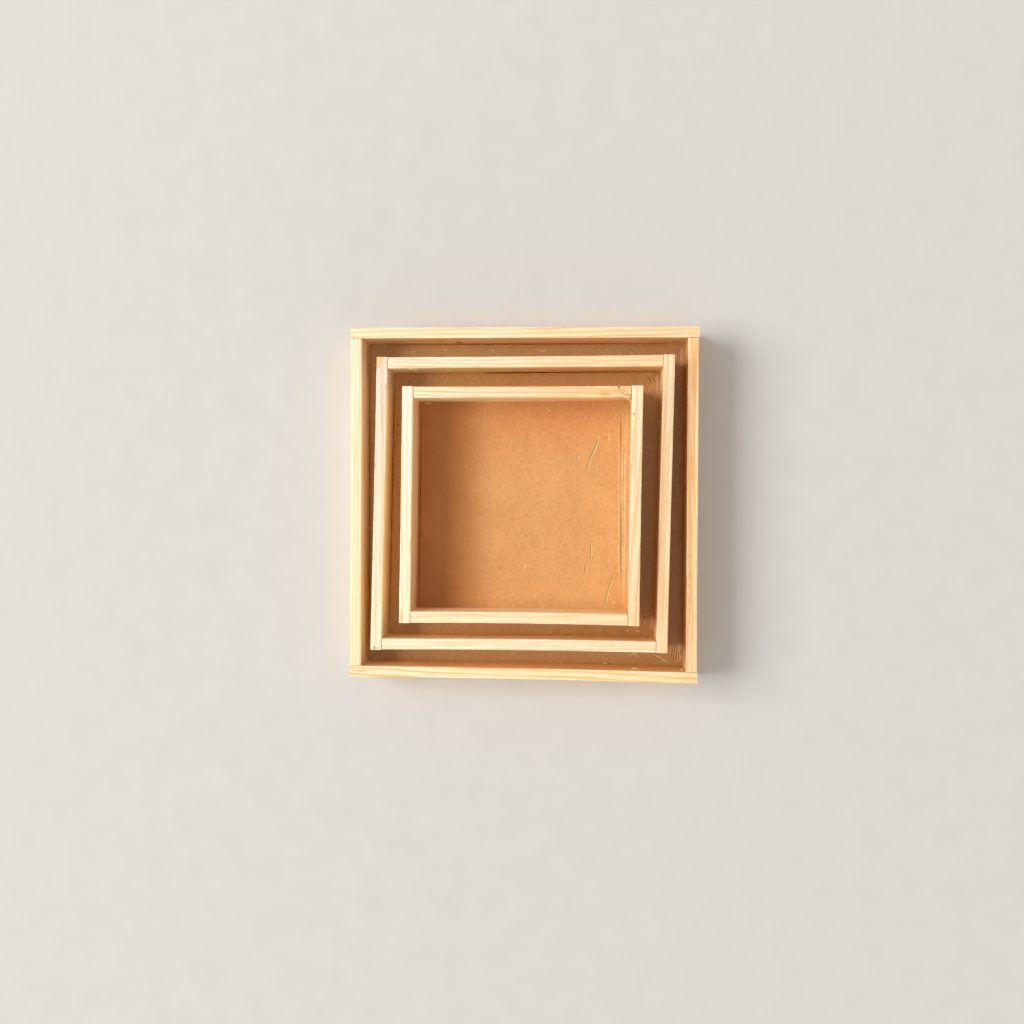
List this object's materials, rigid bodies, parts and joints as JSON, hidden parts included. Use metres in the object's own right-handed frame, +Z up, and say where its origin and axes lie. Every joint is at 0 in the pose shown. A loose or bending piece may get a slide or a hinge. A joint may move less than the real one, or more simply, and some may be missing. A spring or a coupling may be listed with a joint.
{
  "type": "nesting tray set",
  "caption": "Nested open square trays of thin grooved pine strips, butt-jointed and bradded round hardboard floors lined with clear film; the inner ones lift out.",
  "frame": {"origin": "middle of the outer tray's base, on the surface that it stands on", "axes": "+Z up; +X along the outer tray's full-length front strip, to the right; +Y to the back strip"},
  "size_m": [0.2006, 0.203, 0.0425],
  "materials": {
    "pine": "bare planed pine, satin",
    "hardboard": "smooth brown hardboard",
    "clear_film": "clear glossy plastic film",
    "brad_steel": "bright steel wire"
  },
  "bodies": {
    "outer_tray": {"outer_front_wall": "pine", "outer_back_wall": "pine", "outer_left_wall": "pine", "outer_right_wall": "pine", "outer_floor_panel": "hardboard", "outer_film_liner": "clear_film", "outer_brads": "brad_steel"},
    "middle_tray": {"middle_front_wall": "pine", "middle_back_wall": "pine", "middle_left_wall": "pine", "middle_right_wall": "pine", "middle_floor_panel": "hardboard", "middle_film_liner": "clear_film", "middle_brads": "brad_steel"},
    "small_tray": {"small_front_wall": "pine", "small_back_wall": "pine", "small_left_wall": "pine", "small_right_wall": "pine", "small_floor_panel": "hardboard", "small_film_liner": "clear_film", "small_brads": "brad_steel"}
  },
  "joints": [
    {"name": "middle_lift", "type": "slide", "parent": "outer_tray", "child": "middle_tray", "axis": [0, 0, 1], "range_m": [0, 0.04]},
    {"name": "small_lift", "type": "slide", "parent": "middle_tray", "child": "small_tray", "axis": [0, 0, 1], "range_m": [0, 0.04]}
  ]
}
